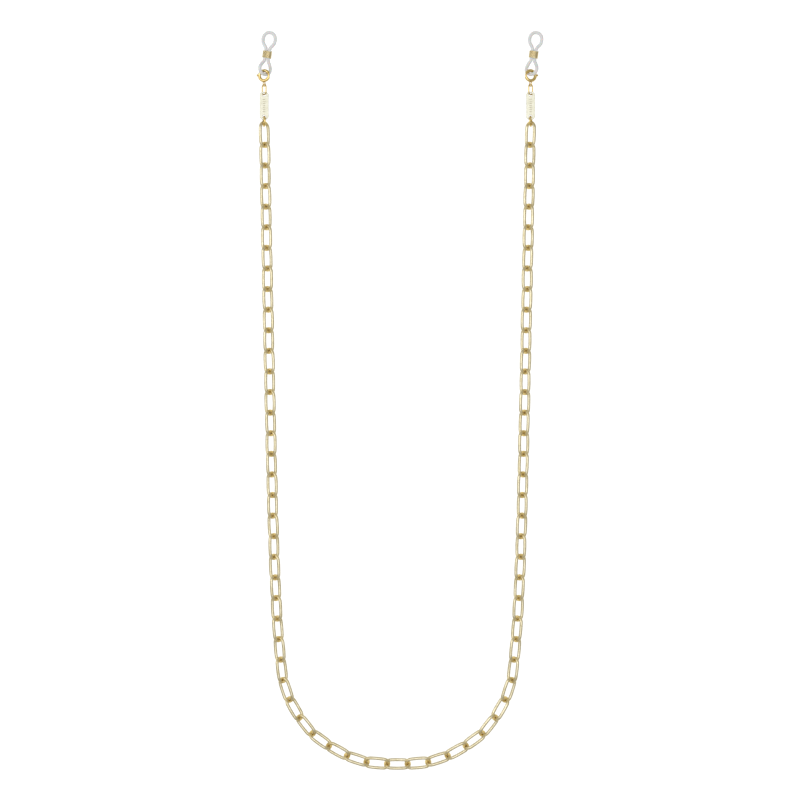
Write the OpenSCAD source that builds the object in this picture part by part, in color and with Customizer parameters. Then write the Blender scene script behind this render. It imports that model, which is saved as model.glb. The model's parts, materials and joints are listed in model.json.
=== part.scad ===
/* [Chain] */
// Links in each strand, counted outwards from the middle link
strand_links = 34; // [20:2:34]
// Diameter of the link wire
link_wire = 1.5; // [1.3:0.05:1.5]
// Centreline radius of a link's round ends
link_end_r = 2.57; // [2.5:0.01:2.7]
// How much larger the radius of a link's long sides is; the link is longer for more
side_excess = 40; // [38:1:42]
// Gap between the wires of two joined pieces
play = 0.05; // [0.04:0.01:0.1]

/* [Lay] */
// Roll of the links that lie wide side up, in degrees
wide_roll = 40; // [38:1:42]
// Roll of the links that lie narrow side up, in degrees
narrow_roll = -50; // [-52:1:-48]
// How far each strand leans outwards, in degrees
lean = 1.2; // [0:0.1:3]
// Unevenness of a strand laid by hand, in degrees
wander = 0.8; // [0:0.1:1.5]

/* [Clasp] */
// Outside diameter of the clasp
clasp_od = 6.1; // [6:0.1:6.6]
// Diameter of the clasp's tube
clasp_tube = 1.44; // [1.4:0.02:1.5]
// Diameter of the bore that holds the bolt and its spring
clasp_bore = 0.96; // [0.9:0.02:1]
// Travel of the clasp's bolt, in degrees
bolt_travel = 52; // [40:1:52]

/* [Tag and rings] */
// Length of the tag
tag_l = 13; // [13:0.5:16]
// Width of the tag
tag_w = 4.1; // [3.6:0.1:4.4]
// Thickness of the tag
tag_t = 0.8; // [0.6:0.1:0.8]
// Diameter of the tag's two holes
tag_hole = 1.7; // [1.7:0.05:1.8]
// Outside diameter of the ring between the tag and the chain
lower_ring_od = 5.2; // [5.2:0.1:5.6]
// Wire of the ring between the tag and the chain
lower_ring_wire = 0.8; // [0.7:0.05:0.8]
// Length of the oval ring between the clasp and the tag
upper_ring_l = 5.5; // [5.4:0.1:6]
// Width of the oval ring between the clasp and the tag
upper_ring_w = 3.6; // [3.4:0.1:3.8]
// Wire of the oval ring
upper_ring_wire = 0.6; // [0.5:0.05:0.6]

/* [Temple loop] */
// Diameter of the silicone cord
cord_d = 1.7; // [1.5:0.05:1.75]
// Width of the eye that grips the temple, over the outside
eye_w = 7.4; // [6.6:0.1:8]
// Height of the silicone loop's top above the clasp's centre
loop_h = 21.2; // [20:0.1:23]
// Angle by which both silicone loops lean to the right
loop_lean = 8; // [0:1:10]
// Length of the slider that closes the loop
slider_l = 3.7; // [3:0.1:4]
// Wall of the slider
slider_wall = 0.42; // [0.35:0.01:0.5]

/* [Hidden] */
$fn = 48;
satin_gold = [0.78, 0.72, 0.56];
bright_gold = [0.74, 0.6, 0.28];
pale_gold = [0.86, 0.8, 0.66];
silicone = [0.82, 0.82, 0.8, 0.6];

// Links beside the middle one that are nodes of their own; the others are nodes of two
single_links = 8;
link_pairs = (strand_links - single_links) / 2;
sides = ["left", "right"];
end_pieces = ["lower_ring", "tag", "upper_ring", "clasp", "clasp_bolt", "clasp_spring",
    "temple_loop", "slider"];

// Link outline: two end arcs and two long, hardly bowed side arcs. They meet on the slope of a
// 237-3116-3125 triangle, which makes them exactly tangent with round numbers for centres and radii
slope = [0.07584, 0.99712];
end_arc_x = slope.x * side_excess;
side_arc_y = -slope.y * side_excess;
side_arc_r = link_end_r + side_excess;
side_facets = 360;
half_run = end_arc_x + link_end_r;
half_width = side_arc_r + side_arc_y;

// Lay of the strand: headings and rolls, in degrees, of the links of the bend, from the middle
bend_headings = [0, 5, 18, 29, 36, 52, 60, 72, 83];
bend_rolls = [-54, 26, -56, 33, -52];
bend_fade = 4;
bend_fade_links = 3;
wander_turn = 137;
chain_z = half_width * sin(-min(bend_rolls)) + link_wire / 2;

function is_odd(k) = k % 2 == 1;
function direction(angle) = [cos(angle), sin(angle)];
function straight_heading(k) = 90 - lean
    - bend_fade * exp((len(bend_headings) - k) / bend_fade_links) + wander * sin(wander_turn * k);
function heading(k) = k < len(bend_headings) ? bend_headings[k] : straight_heading(k);
function roll(k) = k < len(bend_rolls) ? bend_rolls[k] : is_odd(k) ? wide_roll : narrow_roll;
function to_next(k) = half_run * (direction(heading(k)) + direction(heading(k + 1)))
    - (link_wire + play) * direction((heading(k) + heading(k + 1)) / 2);
strand = [for (k = 0, at = [0, 0]; k <= strand_links; at = at + to_next(k), k = k + 1) at];

// End pieces, set out along a strand from the clasp's centre: + is away from the chain
clasp_r = (clasp_od - clasp_tube) / 2;
clasp_roll = 18;
gap_from = 150;
gap_to = 200;
bolt_d = clasp_bore - 0.1;
bolt_from = -12;
bolt_overlap = 5;
bolt_to = gap_to + bolt_overlap;
socket_depth = 9;
bore_overrun = 3;
trigger_at = 5;
trigger_d = 0.42;
trigger_room = 6;
thumb_d = 0.95;
thumb_l = 0.45;
thumb_stand = 0.12;
spring_seat = -78;
spring_gap = 3;
eyelet_wire = 0.5;
eyelet_r = 1.2;
eyelet_stand = 0.75;
eyelet_y = -clasp_od / 2 - eyelet_stand;
upper_ring_roll = 50;
upper_ring_inset = 0.25;
upper_run = (upper_ring_l - upper_ring_wire) / 2;
upper_ring_y = eyelet_y - upper_ring_inset - upper_run;
tag_hole_y = upper_ring_y - upper_run;
tag_margin = 1.35;
tag_y = tag_hole_y + tag_margin - tag_l / 2;
tag_chamfer = 1;
lower_ring_r = (lower_ring_od - lower_ring_wire) / 2;
lower_ring_roll = 76;
lower_ring_z = 0.3;
lower_ring_slack = 0.4;
lower_ring_y = tag_y - (tag_l / 2 - tag_margin) - lower_ring_r;
last_bow_y = lower_ring_y - lower_ring_r + (link_wire + lower_ring_wire) / 2 + lower_ring_slack;
end_z = 2.55;

// Temple loop: half of its centreline, from the clasp to its top, as [across, up]
neck = cord_d / 2 + 0.01;
slider_clearance = 0.05;
slider_y = 10;
neck_half = slider_l / 2 + 0.6;
eye_half = (eye_w - cord_d) / 2;
loop_top = loop_h - cord_d / 2;
half_loop = [
    [1.25, 0.9], [2.1, 2], [2.3, 3.6], [1.75, 5.4], [1.05, 6.7],
    [neck, slider_y - neck_half], [neck, slider_y], [neck, slider_y + neck_half],
    [eye_half * 0.5, 13.7], [eye_half * 0.88, 15.2], [eye_half, 17],
    [eye_half * 0.9, 18.6], [eye_half * 0.55, loop_top - 0.45]
];
loop_bottom = [0, 0.6];
// The lower eye is turned about the strand to pass over one side of the clasp and under the other
eye_roll = 43;
roll_ends_y = 7;
roll_fade = 3;
loop_steps = 3;
loop_sides = 10;

function to_space(p) = [p.x, p.y, p.x * tan(eye_roll * max(0, min(1, (roll_ends_y - p.y) / roll_fade)))];
function flip(p) = [-p.x, p.y];
function curve_at(a, b, c, d, t) = 0.5 * (2 * b + (c - a) * t + (2 * a - 5 * b + 4 * c - d) * t * t
    + (3 * b - a - 3 * c + d) * t * t * t);
function closed_curve(p, steps) = [for (i = [0:len(p) - 1], j = [0:steps - 1])
    curve_at(p[(i + len(p) - 1) % len(p)], p[i], p[(i + 1) % len(p)], p[(i + 2) % len(p)], j / steps)];
loop_points = concat(
    [to_space(loop_bottom)], [for (p = half_loop) to_space(p)], [[0, loop_top, 0]],
    [for (i = [len(half_loop) - 1:-1:0]) to_space(flip(half_loop[i]))]
);

// Middle of the whole piece, between the lowest link of the bend and the top of the loops
lowest_y = strand[1].y - half_width * cos(bend_rolls[1]) - link_wire / 2;
end_x = strand[strand_links].x + half_run * direction(heading(strand_links)).x;
clasp_y = strand[strand_links].y + half_run * direction(heading(strand_links)).y - last_bow_y;
middle_y = (lowest_y + clasp_y + loop_h) / 2;

module arc_rod(r, from, to, d) {
    rotate([0, 0, from]) rotate_extrude(angle = to - from) translate([r, 0]) circle(d = d);
}

module ring(r, d, facets = $fn) {
    rotate_extrude($fn = facets) translate([r, 0]) circle(d = d, $fn = 48);
}

// The part of a wire ring that lies inside a wedge from the ring's centre
module ring_in_wedge(r, d, wedge, facets = $fn) {
    intersection() {
        ring(r, d, facets);
        translate([0, 0, -d]) linear_extrude(2 * d) polygon(wedge);
    }
}

module link() {
    x = 10 * slope.x;
    y = 10 * slope.y;
    end_wedge = [[0, 0], [x, -y], [y, -y], [y, y], [x, y]];
    side_wedge = 10 * [[0, 0], [x, y], [-x, y]];
    color(satin_gold) for (end = [0, 180]) rotate([0, 0, end]) {
        translate([end_arc_x, 0, 0]) ring_in_wedge(link_end_r, link_wire, end_wedge);
        translate([0, side_arc_y, 0]) ring_in_wedge(side_arc_r, link_wire, side_wedge, side_facets);
    }
}

module on_side(side) {
    if (side == "left") mirror([1, 0, 0]) children();
    else children();
}

module strand_link(side, k) {
    on_side(side) translate([strand[k].x, strand[k].y - middle_y, chain_z])
        rotate([0, 0, heading(k)]) rotate([roll(k), 0, 0]) link();
}

module link_pair(side, p) {
    for (k = [single_links + 2 * p - 1, single_links + 2 * p]) strand_link(side, k);
}

module at_end(side) {
    on_side(side) translate([end_x, clasp_y - middle_y, end_z]) children();
}

module at_loop(side) {
    at_end(side) rotate([0, 0, side == "left" ? loop_lean : -loop_lean]) children();
}

module lower_ring() {
    color(bright_gold) translate([0, lower_ring_y, lower_ring_z]) rotate([0, lower_ring_roll, 0])
        ring(lower_ring_r, lower_ring_wire);
}

module tag() {
    x = tag_w / 2;
    y = tag_l / 2;
    outline = [
        [x - tag_chamfer, -y], [x, tag_chamfer - y], [x, y - tag_chamfer], [x - tag_chamfer, y],
        [tag_chamfer - x, y], [-x, y - tag_chamfer], [-x, tag_chamfer - y], [tag_chamfer - x, -y]
    ];
    color(pale_gold) translate([0, tag_y, -tag_t / 2]) difference() {
        linear_extrude(tag_t) polygon(outline);
        for (end = [-1, 1]) translate([0, end * (y - tag_margin), -1])
            cylinder(d = tag_hole, h = tag_t + 2);
    }
}

module upper_ring() {
    end_r = (upper_ring_w - upper_ring_wire) / 2;
    straight = upper_run - end_r;
    color(bright_gold) translate([0, upper_ring_y, 0]) rotate([0, upper_ring_roll, 0])
        for (end = [0, 180]) rotate([0, 0, end]) {
            translate([0, straight, 0]) arc_rod(end_r, 0, 180, upper_ring_wire);
            translate([end_r, straight, 0]) rotate([90, 0, 0])
                cylinder(d = upper_ring_wire, h = 2 * straight);
        }
}

module in_clasp() {
    color(bright_gold) rotate([0, clasp_roll, 0]) children();
}

// Tube bent into a ring with a gap that the bolt closes, and an eyelet for the oval ring
module clasp() {
    slot = trigger_d + 0.1;
    in_clasp() difference() {
        union() {
            arc_rod(clasp_r, gap_to, gap_from + 360, clasp_tube);
            translate([0, eyelet_y, 0]) rotate([0, 90, 0]) ring(eyelet_r, eyelet_wire);
        }
        arc_rod(clasp_r, spring_seat, gap_from + bore_overrun, clasp_bore);
        arc_rod(clasp_r, gap_to - bore_overrun, gap_to + socket_depth, clasp_bore);
        rotate([0, 0, trigger_at - bolt_travel - trigger_room])
            rotate_extrude(angle = bolt_travel + 2 * trigger_room)
                translate([clasp_r, -slot / 2]) square([clasp_tube, slot]);
    }
}

// Curved bolt that closes the gap, with the little thumb piece that draws it back
module clasp_bolt() {
    in_clasp() {
        arc_rod(clasp_r, bolt_from, bolt_to, bolt_d);
        rotate([0, 0, trigger_at]) translate([clasp_r, 0, 0]) rotate([0, 90, 0]) {
            cylinder(d = trigger_d, h = clasp_tube);
            translate([0, 0, clasp_tube / 2 + thumb_stand]) cylinder(d = thumb_d, h = thumb_l);
        }
    }
}

// A tube of polygon section round a list of points, open at its ends or closed on itself
function unit(v) = v / norm(v);
function along(path, i, closed) = let (n = len(path))
    closed ? unit(path[(i + 1) % n] - path[(i + n - 1) % n])
    : unit(path[min(i + 1, n - 1)] - path[max(i - 1, 0)]);
function section(at, dir, r, count) = let (a = unit(cross(dir, [0.1, 0.2, 1])), b = cross(dir, a))
    [for (j = [0:count - 1]) at + r * (cos(360 * j / count) * a + sin(360 * j / count) * b)];
module sweep(path, r, count, closed) {
    n = len(path);
    points = [for (i = [0:n - 1]) each section(path[i], along(path, i, closed), r, count)];
    walls = [for (i = [0:(closed ? n - 1 : n - 2)], j = [0:count - 1])
        let (k = (j + 1) % count, m = (i + 1) % n)
        [i * count + j, m * count + j, m * count + k, i * count + k]];
    caps = closed ? [] : [[for (j = [0:count - 1]) j],
        [for (j = [count - 1:-1:0]) (n - 1) * count + j]];
    polyhedron(points, concat(walls, caps));
}

// Fine coil that pushes the bolt shut, wound inside the clasp's tube
module clasp_spring() {
    turns = 7;
    per_turn = 10;
    wire = 0.14;
    coil_r = (bolt_d - wire) / 2;
    from = bolt_from - spring_gap;
    to = spring_seat + spring_gap;
    path = [for (i = [0:turns * per_turn])
        let (a = from + (to - from) * i / (turns * per_turn), b = 360 * i / per_turn,
            r = clasp_r + coil_r * cos(b))
        [r * cos(a), r * sin(a), coil_r * sin(b)]];
    in_clasp() sweep(path, wire / 2, 6, false);
}

module temple_loop() {
    color(silicone) sweep(closed_curve(loop_points, loop_steps), cord_d / 2, loop_sides, true);
}

module slot_bar(wide, high, long) {
    for (x = [-1, 1]) translate([x * (wide - high) / 2, 0, 0]) cylinder(d = high, h = long, center = true);
    cube([wide - high, high, long], center = true);
}

// Sleeve that pinches the loop's two strands together
module slider() {
    wide = 2 * (neck + slider_clearance) + cord_d;
    high = cord_d + 2 * slider_clearance;
    color(bright_gold) translate([0, slider_y, 0]) rotate([90, 0, 0]) difference() {
        slot_bar(wide + 2 * slider_wall, high + 2 * slider_wall, slider_l);
        slot_bar(wide, high, slider_l + 1);
    }
}

strand_link("right", 0);  // middle_link
for (side = sides) {
    for (k = [1:single_links])
        strand_link(side, k);
    for (p = [1:link_pairs])
        link_pair(side, p);
    at_end(side) lower_ring();
    at_end(side) tag();
    at_end(side) upper_ring();
    at_end(side) clasp();
    at_end(side) clasp_bolt();
    at_end(side) clasp_spring();
    at_loop(side) temple_loop();
    at_loop(side) slider();
}
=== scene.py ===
"""Looks of a glasses chain: satin cable links, polished clasps and rings, tags and silicone temple loops."""

import json
import math

import bmesh
import bpy
import numpy as np
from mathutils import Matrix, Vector


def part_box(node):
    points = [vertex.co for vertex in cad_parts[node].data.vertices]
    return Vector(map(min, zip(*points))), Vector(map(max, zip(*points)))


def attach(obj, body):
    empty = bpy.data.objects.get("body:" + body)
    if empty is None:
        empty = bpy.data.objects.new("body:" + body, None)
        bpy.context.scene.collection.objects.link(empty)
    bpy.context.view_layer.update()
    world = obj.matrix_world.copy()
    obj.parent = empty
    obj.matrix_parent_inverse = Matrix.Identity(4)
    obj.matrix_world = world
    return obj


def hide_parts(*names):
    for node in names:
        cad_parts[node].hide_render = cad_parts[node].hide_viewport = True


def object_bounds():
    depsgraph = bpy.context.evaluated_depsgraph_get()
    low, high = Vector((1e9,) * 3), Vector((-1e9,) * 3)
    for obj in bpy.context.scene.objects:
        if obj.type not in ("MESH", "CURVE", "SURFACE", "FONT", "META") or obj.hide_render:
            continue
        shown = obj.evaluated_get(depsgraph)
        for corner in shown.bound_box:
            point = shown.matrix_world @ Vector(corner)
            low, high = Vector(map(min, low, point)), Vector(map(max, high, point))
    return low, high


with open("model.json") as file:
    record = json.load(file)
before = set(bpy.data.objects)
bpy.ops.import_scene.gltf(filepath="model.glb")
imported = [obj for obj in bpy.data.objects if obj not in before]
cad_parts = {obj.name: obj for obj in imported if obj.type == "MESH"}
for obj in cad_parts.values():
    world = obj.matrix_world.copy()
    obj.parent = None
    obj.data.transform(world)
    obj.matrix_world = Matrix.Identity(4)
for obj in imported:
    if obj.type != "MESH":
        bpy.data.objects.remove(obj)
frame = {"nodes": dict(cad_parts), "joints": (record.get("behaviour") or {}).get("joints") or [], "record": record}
cad_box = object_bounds()

MM = 0.001
# Sine of half the angle that a link's long side turns through
LINK_SLOPE = 0.07584
TAG_EDGE = 0.13 * MM
# Engraved strokes on the tag: how many each side of the middle one; spacing, length, half width in mm
STROKES, STROKE_GAP, STROKE_L, STROKE_W = 3, 0.95, 1.1, 0.09
# What a metal reflects of grazing light: its rim is darker and greener than its face
EDGE_TINT = (0.60, 0.57, 0.38)
# The slider's coil: turns, steps round each turn, and how sharply it goes from its ends to its flat sides
COIL_TURNS, COIL_STEPS, COIL_FLATTEN = 8, 28, 1.6
# Vertices round the wire of a link and of the slider's coil
LINK_SIDES, COIL_SIDES = 16, 10
# A link's seam: its place along the outline of odd and even links, and its depth as a share of the radius
SEAM_ODD, SEAM_EVEN, SEAM_DIP = 0.43, 0.93, 0.03
# Two corners of the CAD mesh this close are one
WELD = 1e-7
# Camera: how much wider than the layout is long the view is, lens and sensor in mm
VIEW_MARGIN, LENS, SENSOR = 1.0855, 85, 36
# Floor: width in metres, and a glow that keeps it white
FLOOR_SIZE, FLOOR_GLOW = 40, 0.38
WORLD_GLOW = 0.52
SIDES = ("left", "right")
JOINTS = {j["name"]: j for j in frame["joints"]}
BODY_OF = {
    node: body
    for body, nodes in frame["record"]["behaviour"]["bodies"].items()
    for node in nodes
}


# ---------------------------------------------------------------- shader helpers


class Shader:
    """A material's node tree with one principled surface, and short calls for the nodes that feed it."""

    def __init__(self, name, **sockets):
        self.material = bpy.data.materials.new(name)
        self.material.use_nodes = True
        self.tree = self.material.node_tree
        self.surface = self.tree.nodes["Principled BSDF"]
        for socket, value in sockets.items():
            self.surface.inputs[socket.replace("_", " ")].default_value = value

    def node(self, kind, **settings):
        made = self.tree.nodes.new(kind)
        for key, value in settings.items():
            setattr(made, key, value)
        return made

    def link(self, source, target):
        self.tree.links.new(source, target)

    def place(self, stretch=(1, 1, 1), attribute=None):
        """Coordinates in millimetres: of the shared frame, or those that an attribute of the mesh holds."""
        if attribute:
            source = self.node("ShaderNodeAttribute", attribute_name=attribute).outputs["Vector"]
            size = 1
        else:
            source = self.node("ShaderNodeTexCoord").outputs["Object"]
            size = 1 / MM
        mapping = self.node("ShaderNodeMapping")
        mapping.inputs["Scale"].default_value = [size * s for s in stretch]
        self.link(source, mapping.inputs["Vector"])
        return mapping.outputs["Vector"]

    def noise(self, where, scale, detail=3.0, roughness=0.55):
        made = self.node("ShaderNodeTexNoise")
        made.inputs["Scale"].default_value = scale
        made.inputs["Detail"].default_value = detail
        made.inputs["Roughness"].default_value = roughness
        self.link(where, made.inputs["Vector"])
        return made.outputs["Fac"]

    def span(self, value, low, high, start=0.3, end=0.7):
        made = self.node("ShaderNodeMapRange")
        made.inputs["From Min"].default_value = start
        made.inputs["From Max"].default_value = end
        made.inputs["To Min"].default_value = low
        made.inputs["To Max"].default_value = high
        self.link(value, made.inputs["Value"])
        return made.outputs["Result"]

    def blend(self, value, first, second):
        """A colour between two; the first may be a socket."""
        made = self.node("ShaderNodeMix", data_type="RGBA")
        if isinstance(first, tuple):
            made.inputs[6].default_value = (*first, 1)
        else:
            self.link(first, made.inputs[6])
        made.inputs[7].default_value = (*second, 1)
        self.link(value, made.inputs["Factor"])
        return made.outputs[2]

    def bump(self, height, distance, strength=1.0, below=None):
        made = self.node("ShaderNodeBump")
        made.inputs["Distance"].default_value = distance
        made.inputs["Strength"].default_value = strength
        self.link(height, made.inputs["Height"])
        if below:
            self.link(below, made.inputs["Normal"])
        return made.outputs["Normal"]

    def sum(self, kind, first, second):
        """One step of arithmetic; each term is a socket or a number."""
        made = self.node("ShaderNodeMath", operation=kind)
        for slot, term in zip(made.inputs, (first, second)):
            if isinstance(term, (int, float)):
                slot.default_value = term
            else:
                self.link(term, slot)
        return made.outputs["Value"]

    def feed(self, socket, value):
        self.link(value, self.surface.inputs[socket])


def plated_metal(name, light, dark, gloss, dull, wire=None, bare_and_shade=None):
    """Gold plating: colour drift, drawing lines along the wire or fine scratches, rubbed patches, a grain.

    With `bare_and_shade`, a wire's end arcs show that warmer, deeper colour: the metal beneath where the plating
    is worn, and painted shade where the wires meet."""
    shader = Shader(name, Metallic=1.0, Specular_Tint=(*EDGE_TINT, 1))
    where = shader.place()
    drift = shader.noise(where, 0.35, 5)
    rubbed = shader.noise(where, 1.1, 5, 0.7)
    stretched = shader.place((0.25, 3, 3), wire) if wire else shader.place((1, 0.15, 1))
    lines = shader.noise(stretched, 2.2 if wire else 7, 5, 0.65)
    tone = shader.blend(shader.span(drift, 0, 1, 0.35, 0.65), light, dark)
    if bare_and_shade:
        split = shader.node("ShaderNodeSeparateXYZ")
        shader.link(shader.place(attribute=wire), split.inputs[0])
        # Painted shade and wear: the end arcs of each link take the deeper colour where wires meet and rub.
        patchy_wear_and_shade = shader.sum("MULTIPLY", split.outputs["Z"], shader.span(rubbed, 0.45, 1))
        tone = shader.blend(patchy_wear_and_shade, tone, bare_and_shade)
    shader.feed("Base Color", tone)
    worn = shader.sum("ADD", shader.span(lines, gloss, dull), shader.span(rubbed, -0.06, 0.07))
    shader.feed("Roughness", worn)
    grain = shader.bump(shader.noise(where, 16, 2), 0.003 * MM, 0.5)
    scuffs = shader.bump(rubbed, 0.012 * MM, 0.3, grain)
    shader.feed("Normal", shader.bump(lines, 0.012 * MM, 0.55, scuffs))
    return shader.material


def engraved_plate():
    """Pale gold, brushed along the tag, with a column of short engraved strokes down its middle, coloured darker
    inside as painted shade.
    """
    shader = Shader("pale_gold", Metallic=1.0)
    where = shader.place(attribute="tag")
    split = shader.node("ShaderNodeSeparateXYZ")
    shader.link(where, split.inputs[0])
    x, y = (shader.sum("ABSOLUTE", split.outputs[i], 0) for i in range(2))
    beat = shader.sum("PINGPONG", y, STROKE_GAP / 2)
    inside = shader.sum("MULTIPLY", shader.sum("LESS_THAN", x, STROKE_L / 2),
                        shader.sum("LESS_THAN", y, (STROKES + 0.5) * STROKE_GAP))
    groove_and_shade = shader.sum("MULTIPLY", inside, shader.sum("LESS_THAN", beat, STROKE_W))
    brushed = shader.noise(shader.place((6, 0.3, 6), "tag"), 2.4, 5)
    handled = shader.noise(where, 0.5, 4)
    tone = shader.blend(shader.span(handled, 0, 1), (0.53, 0.52, 0.435), (0.48, 0.465, 0.365))
    # Painted shade: the engraved strokes are coloured darker inside their grooves.
    shader.feed("Base Color", shader.blend(groove_and_shade, tone, (0.40, 0.36, 0.25)))
    shader.feed("Roughness", shader.span(brushed, 0.24, 0.4))
    fine = shader.bump(brushed, 0.012 * MM, 0.6)
    shader.feed("Normal", shader.bump(shader.sum("MULTIPLY", groove_and_shade, -1), 0.05 * MM, 0.7, fine))
    return shader.material


def milky_silicone():
    """Translucent moulded silicone with a faint haze and a dusty, slightly uneven skin."""
    shader = Shader(
        "milky_silicone",
        Transmission_Weight=0.05,
        Specular_IOR_Level=0.3,
        IOR=1.41,
        Subsurface_Weight=0.2,
        Subsurface_Scale=1.0 * MM,
    )
    haze = shader.noise(shader.place(), 0.5)
    shader.feed("Base Color", shader.blend(shader.span(haze, 0, 1), (0.75, 0.76, 0.75), (0.69, 0.70, 0.69)))
    dust = shader.noise(shader.place(), 6, 4)
    shader.feed("Roughness", shader.span(dust, 0.28, 0.48))
    shader.feed("Normal", shader.bump(dust, 0.01 * MM, 0.4))
    return shader.material


def white_card():
    """The smooth white floor."""
    shader = Shader("white_card", Roughness=0.8, Emission_Color=(1, 1, 1, 1), Emission_Strength=FLOOR_GLOW)
    fibre = shader.noise(shader.place(), 0.8, 5)
    shader.feed("Base Color", shader.blend(shader.span(fibre, 0, 1), (0.93, 0.93, 0.93), (0.91, 0.91, 0.91)))
    return shader.material


# ---------------------------------------------------------------- mesh helpers


def new_piece(name, mesh, material, body, slot, *stands_for):
    """A finished piece: it rides on a body, takes its finish from its material and replaces CAD nodes; its slot is
    not used.
    """
    piece = bpy.data.objects.new(name, mesh)
    bpy.context.scene.collection.objects.link(piece)
    mesh.materials.append(material)
    mesh.shade_smooth()
    if stands_for:
        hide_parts(*stands_for)
    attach(piece, body)
    return piece


def add_marks(mesh, name, marks):
    """A vector at each vertex, which the material reads by its name."""
    made = mesh.attributes.new(name, "FLOAT_VECTOR", "POINT")
    made.data.foreach_set("vector", np.array(marks, float).ravel())


def tube_mesh(name, paths, sides, ups, closed=True):
    """Round wires along lists of (point, radius, wear_and_shade). Each ring of vertices is square to the path.

    The attribute "wire" holds millimetres along the wire and round it, for the material's drawing lines,
    and from 0 to 1 how worn the plating is there and how much painted shade of the junctions it takes."""
    points, faces, marks = [], [], []
    for path, up in zip(paths, ups):
        first, count = len(points), len(path)
        run = 0.0
        for i, (at, radius, wear_and_shade) in enumerate(path):
            ahead = path[(i + 1) % count if closed else min(i + 1, count - 1)][0]
            behind = path[i - 1 if closed or i else 0][0]
            along = (ahead - behind).normalized()
            across = along.cross(up).normalized()
            over = across.cross(along)
            run += (ahead - at).length / MM
            for j in range(sides):
                turn = 2 * math.pi * j / sides
                points.append(at + radius * (math.cos(turn) * across + math.sin(turn) * over))
                marks.append((run, abs(turn - math.pi) * radius / MM, wear_and_shade))
        for i in range(count if closed else count - 1):
            here, there = first + i * sides, first + (i + 1) % count * sides
            for j in range(sides):
                k = (j + 1) % sides
                faces.append((here + j, here + k, there + k, there + j))
        if not closed:
            faces.append(tuple(first + j for j in range(sides - 1, -1, -1)))
            faces.append(tuple(first + (count - 1) * sides + j for j in range(sides)))
    mesh = bpy.data.meshes.new(name)
    mesh.from_pydata(points, [], faces)
    add_marks(mesh, "wire", marks)
    mesh.validate()
    return mesh


# ---------------------------------------------------------------- chain links


def islands(node):
    """The separate solids of a CAD node, each as its triangles' corners in an array (n, 3, 3)."""
    made = bmesh.new()
    made.from_mesh(frame["nodes"][node].data)
    bmesh.ops.remove_doubles(made, verts=made.verts, dist=WELD)
    bmesh.ops.triangulate(made, faces=made.faces)
    left, found = set(made.faces), []
    while left:
        queue, island = [left.pop()], []
        while queue:
            face = queue.pop()
            island.append([v.co[:] for v in face.verts])
            for near in (f for e in face.edges for f in e.link_faces if f in left):
                left.discard(near)
                queue.append(near)
        found.append(np.array(island))
    made.free()
    return found


def link_placement(triangles):
    """Centre, axes (along, across, over) and outer size of a link, from the spread of its surface."""
    middles = triangles.mean(1)
    first_edges, second_edges = (triangles[:, i] - triangles[:, 0] for i in (1, 2))
    areas = np.linalg.norm(np.cross(first_edges, second_edges), axis=1)
    centre = np.average(middles, axis=0, weights=areas)
    spread = ((middles - centre) * areas[:, None]).T @ (middles - centre)
    axes = np.linalg.eigh(spread)[1][:, ::-1].T
    reach = (triangles.reshape(-1, 3) - centre) @ axes.T
    size = reach.max(0) - reach.min(0)
    return Vector(centre), [Vector(a) for a in axes], [float(s) for s in size]


def oval_path(size, end_steps=22, side_steps=10):
    """Centreline of a link in its own plane, as (x, y, wear_and_shade): two end arcs, which rub on the neighbours
    and take worn plating and painted shade where they meet them, and two long side arcs that bow a little."""
    half_run, half_width = (size[0] - size[2]) / 2, (size[1] - size[2]) / 2
    slope = math.asin(LINK_SLOPE)
    excess = (half_run - half_width) / (math.sin(slope) + math.cos(slope) - 1)
    end_x, side_y = excess * math.sin(slope), excess * math.cos(slope)
    end_r = half_run - end_x
    side_r = end_r + excess
    points = []
    for flip in (1, -1):
        for i in range(end_steps):
            turn = -math.pi / 2 + slope + i * (math.pi - 2 * slope) / end_steps
            # Worn plating and painted junction shade, strongest at the tip of each end arc.
            wear_and_shade = math.cos(turn) ** 2
            points.append((flip * (end_x + end_r * math.cos(turn)), flip * end_r * math.sin(turn), wear_and_shade))
        for i in range(side_steps):
            turn = math.pi / 2 - slope + i * 2 * slope / side_steps
            points.append((flip * side_r * math.cos(turn), flip * (side_r * math.sin(turn) - side_y), 0))
    return points


def link_wire(triangles, number):
    """A link's centreline in space with its radius at each point, and the normal of its plane."""
    centre, (along, across, over), size = link_placement(triangles)
    radius = size[2] / 2
    flat = oval_path(size)
    seam = len(flat) * (SEAM_ODD if number % 2 else SEAM_EVEN)
    path = []
    for i, (x, y, wear_and_shade) in enumerate(flat):
        dip = SEAM_DIP * math.exp(-((i - round(seam)) ** 2))
        path.append((centre + x * along + y * across, radius * (1 - dip), wear_and_shade))
    return path, over


def dress_links(material):
    number = 0
    for node in sorted(n for n in frame["nodes"] if "link" in n):
        wires = []
        for triangles in islands(node):
            wires.append(link_wire(triangles, number))
            number += 1
        mesh = tube_mesh(node + "_wire", [w[0] for w in wires], LINK_SIDES, [w[1] for w in wires])
        new_piece(node + "_wire", mesh, material, BODY_OF[node], "chain_gold", node)


# ---------------------------------------------------------------- end pieces


def set_material(node, material):
    data = frame["nodes"][node].data
    data.materials.clear()
    data.materials.append(material)


def welded(node):
    """A bmesh copy of a CAD node with its corners joined."""
    made = bmesh.new()
    made.from_mesh(frame["nodes"][node].data)
    bmesh.ops.remove_doubles(made, verts=made.verts, dist=WELD)
    return made


def finished(made, name):
    mesh = bpy.data.meshes.new(name)
    made.to_mesh(mesh)
    made.free()
    return mesh


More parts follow.
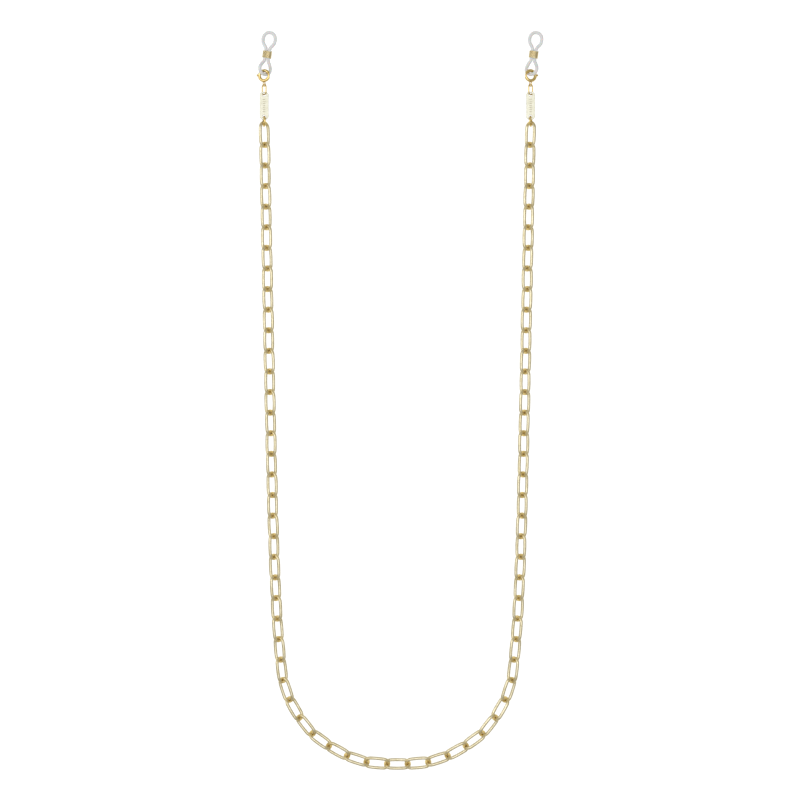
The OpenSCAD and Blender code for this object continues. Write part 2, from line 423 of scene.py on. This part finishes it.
def soft_cord(node, material):
    """The silicone loop, rounded: the CAD tube's facets in quads, subdivided."""
    made = welded(node)
    bmesh.ops.join_triangles(made, faces=made.faces, angle_face_threshold=3.1, angle_shape_threshold=3.1)
    mesh = finished(made, node + "_cord")
    piece = new_piece(node + "_cord", mesh, material, BODY_OF[node], "silicone", node)
    smoother = piece.modifiers.new("round", "SUBSURF")
    smoother.levels = smoother.render_levels = 2


def struck_tag(node, material):
    """The tag with its struck, softly rounded edges; "tag" holds millimetres from its middle."""
    made = welded(node)
    bmesh.ops.dissolve_limit(made, angle_limit=0.02, verts=made.verts, edges=made.edges)
    sharp = [e for e in made.edges if e.is_manifold and e.calc_face_angle() > 0.7]
    bmesh.ops.bevel(made, geom=sharp, offset=TAG_EDGE, segments=3, profile=0.5, affect="EDGES")
    low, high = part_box(node)
    middle = (Vector(low) + Vector(high)) / 2
    marks = [(v.co - middle) / MM for v in made.verts]
    mesh = finished(made, node + "_plate")
    add_marks(mesh, "tag", marks)
    piece = new_piece(node + "_plate", mesh, material, BODY_OF[node], "pale_gold", node)
    piece.modifiers.new("flat_faces", "WEIGHTED_NORMAL")


def wound_slider(node, material):
    """The slider as the close-wound coil it is: turns of wire pressed oval round the two strands."""
    along = Vector(JOINTS[node + "_slide"]["axis"]).normalized()
    over = Vector((0, 0, 1))
    across = along.cross(over)
    corners = [v.co for v in frame["nodes"][node].data.vertices]
    reach = [[f(c.dot(axis) for c in corners) for f in (min, max)] for axis in (across, along, over)]
    wide, long, high = (b - a for a, b in reach)
    centre = sum(((a + b) / 2 * axis for (a, b), axis in zip(reach, (across, along, over))), Vector())
    wire = long / COIL_TURNS
    round_r, straight = (high - wire) / 2, (wide - high) / 2
    steps = COIL_STEPS * (COIL_TURNS - 1)
    path = []
    for i in range(steps + 1):
        turn = 2 * math.pi * i / COIL_STEPS
        x = round_r * math.cos(turn) + straight * max(-1, min(1, COIL_FLATTEN * math.cos(turn)))
        y = (wire - long) / 2 + (long - wire) * i / steps
        path.append((centre + x * across + y * along + round_r * math.sin(turn) * over, wire / 2, 0))
    mesh = tube_mesh(node + "_coil", [path], COIL_SIDES, [along], closed=False)
    new_piece(node + "_coil", mesh, material, BODY_OF[node], "bright_gold", node)


def dress_ends(bright, wound, pale, steel, silicone):
    for side in SIDES:
        for piece in ("lower_ring", "upper_ring", "clasp", "clasp_bolt"):
            set_material(f"{side}_{piece}", bright)
        set_material(f"{side}_clasp_spring", steel)
        struck_tag(f"{side}_tag", pale)
        soft_cord(f"{side}_temple_loop", silicone)
        wound_slider(f"{side}_slider", wound)


# ---------------------------------------------------------------- stage


def add_light(name, size, power, place):
    data = bpy.data.lights.new(name, "AREA")
    data.shape, data.size, data.energy = "DISK", size, power
    lamp = bpy.data.objects.new(name, data)
    lamp.location = place
    lamp.rotation_euler = (-Vector(place)).to_track_quat("-Z", "Y").to_euler()
    bpy.context.scene.collection.objects.link(lamp)


def set_stage():
    """Soft light from above on a white floor, which lies as far below as a strand can swing down."""
    swing = max(abs(limit) for name, j in JOINTS.items() if "swing" in name for limit in j["range_deg"])
    drop = (cad_box[1].y - cad_box[0].y) * math.sin(math.radians(swing))
    bpy.ops.mesh.primitive_plane_add(size=FLOOR_SIZE, location=(0, 0, cad_box[0].z - drop))
    floor = bpy.context.object
    floor.name = "floor"
    floor.data.materials.append(white_card())
    add_light("top", 1.0, 4.2, (0, 0, 1.0))
    add_light("left", 0.6, 2.2, (-0.8, 0.3, 0.75))
    world = bpy.data.worlds.new("studio")
    world.use_nodes = True
    world.node_tree.nodes["Background"].inputs["Color"].default_value = (1, 1, 1, 1)
    world.node_tree.nodes["Background"].inputs["Strength"].default_value = WORLD_GLOW
    bpy.context.scene.world = world
    bpy.context.scene.view_settings.view_transform = "Standard"


def set_camera():
    """Straight above the middle, as wide as the layout's length with a small margin."""
    length = cad_box[1].y - cad_box[0].y
    middle = (cad_box[0].x + cad_box[1].x) / 2
    data = bpy.data.cameras.new("camera")
    data.lens, data.sensor_width = LENS, SENSOR
    seen = length * VIEW_MARGIN
    camera = bpy.data.objects.new("camera", data)
    camera.location = (middle, 0, seen * data.lens / data.sensor_width)
    bpy.context.scene.collection.objects.link(camera)
    bpy.context.scene.camera = camera


# The last colour of the links: worn plating and painted shade where the wires meet.
satin_gold = plated_metal(
    "satin_champagne_gold", (0.69, 0.625, 0.45), (0.59, 0.515, 0.32), 0.26, 0.44, "wire", (0.85, 0.65, 0.24))
bright_gold = plated_metal("polished_gold", (0.76, 0.58, 0.25), (0.68, 0.49, 0.17), 0.16, 0.3)
wound_gold = plated_metal("wound_gold_wire", (0.80, 0.69, 0.42), (0.72, 0.59, 0.33), 0.18, 0.3, "wire")
spring_steel = plated_metal("spring_steel", (0.62, 0.62, 0.64), (0.55, 0.55, 0.57), 0.25, 0.4)

set_camera()
set_stage()
dress_links(satin_gold)
dress_ends(bright_gold, wound_gold, engraved_plate(), spring_steel, milky_silicone())
